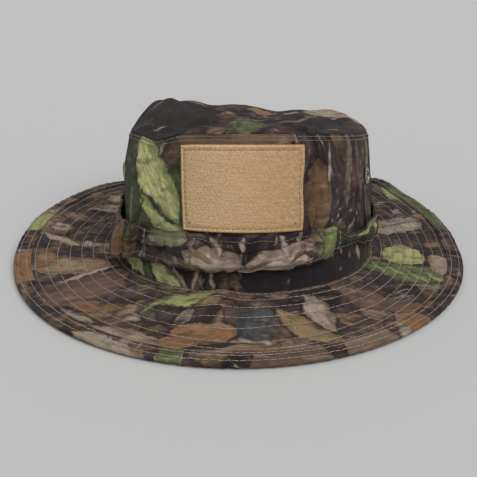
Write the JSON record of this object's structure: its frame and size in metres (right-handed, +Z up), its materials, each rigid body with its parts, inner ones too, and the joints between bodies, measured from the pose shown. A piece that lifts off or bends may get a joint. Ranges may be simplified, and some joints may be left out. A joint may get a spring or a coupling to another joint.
{
  "type": "boonie hat",
  "caption": "Soft round-crowned sun hat in leaf camouflage cloth with a wide stitched brim, a foliage band and a hook-and-loop front panel.",
  "frame": {"origin": "centre of the brim, on the surface that the hat rests on", "axes": "+Z up; the front of the hat, with its loop panel, faces -Y; +X is to the right in a front view"},
  "size_m": [0.288, 0.324, 0.0982],
  "materials": {
    "camo_cloth": "matt printed cotton",
    "camo_binding": "matt printed cotton strip",
    "interlining": "stiff woven layer, hidden",
    "lining_tape": "dark green cotton tape",
    "loop_pile": "tan looped nylon pile",
    "panel_thread": "tan sewing thread",
    "thread": "pale pinkish sewing thread",
    "vent_metal": "grey-bronze painted eyelet, rubbed at its rim"
  },
  "bodies": {
    "root": {"crown_tip": "camo_cloth", "crown_wall": "camo_cloth", "brim_upper_front": "camo_cloth", "brim_upper_back": "camo_cloth", "brim_lower_front": "camo_cloth", "brim_lower_back": "camo_cloth", "foliage_band": "camo_cloth", "brim_edge_binding": "camo_binding", "brim_interlining": "interlining", "crown_seam_tape": "lining_tape", "sweatband": "lining_tape", "loop_panel": "loop_pile", "loop_panel_stitching": "panel_thread", "crown_topstitch_upper": "thread", "crown_topstitch_lower": "thread", "crown_back_stitching": "thread", "sweatband_stitching": "thread", "foliage_band_tacks": "thread", "binding_stitch_inner": "thread", "binding_stitch_outer": "thread", "brim_stitch_row_1": "thread", "brim_stitch_row_2": "thread", "brim_stitch_row_3": "thread", "brim_stitch_row_4": "thread", "brim_stitch_row_5": "thread", "brim_stitch_row_6": "thread", "brim_stitch_row_7": "thread", "brim_stitch_row_8": "thread", "vent_eyelet_right_front": "vent_metal", "vent_washer_right_front": "vent_metal", "vent_eyelet_right_back": "vent_metal", "vent_washer_right_back": "vent_metal", "vent_eyelet_left_front": "vent_metal", "vent_washer_left_front": "vent_metal", "vent_eyelet_left_back": "vent_metal", "vent_washer_left_back": "vent_metal"}
  },
  "joints": []
}
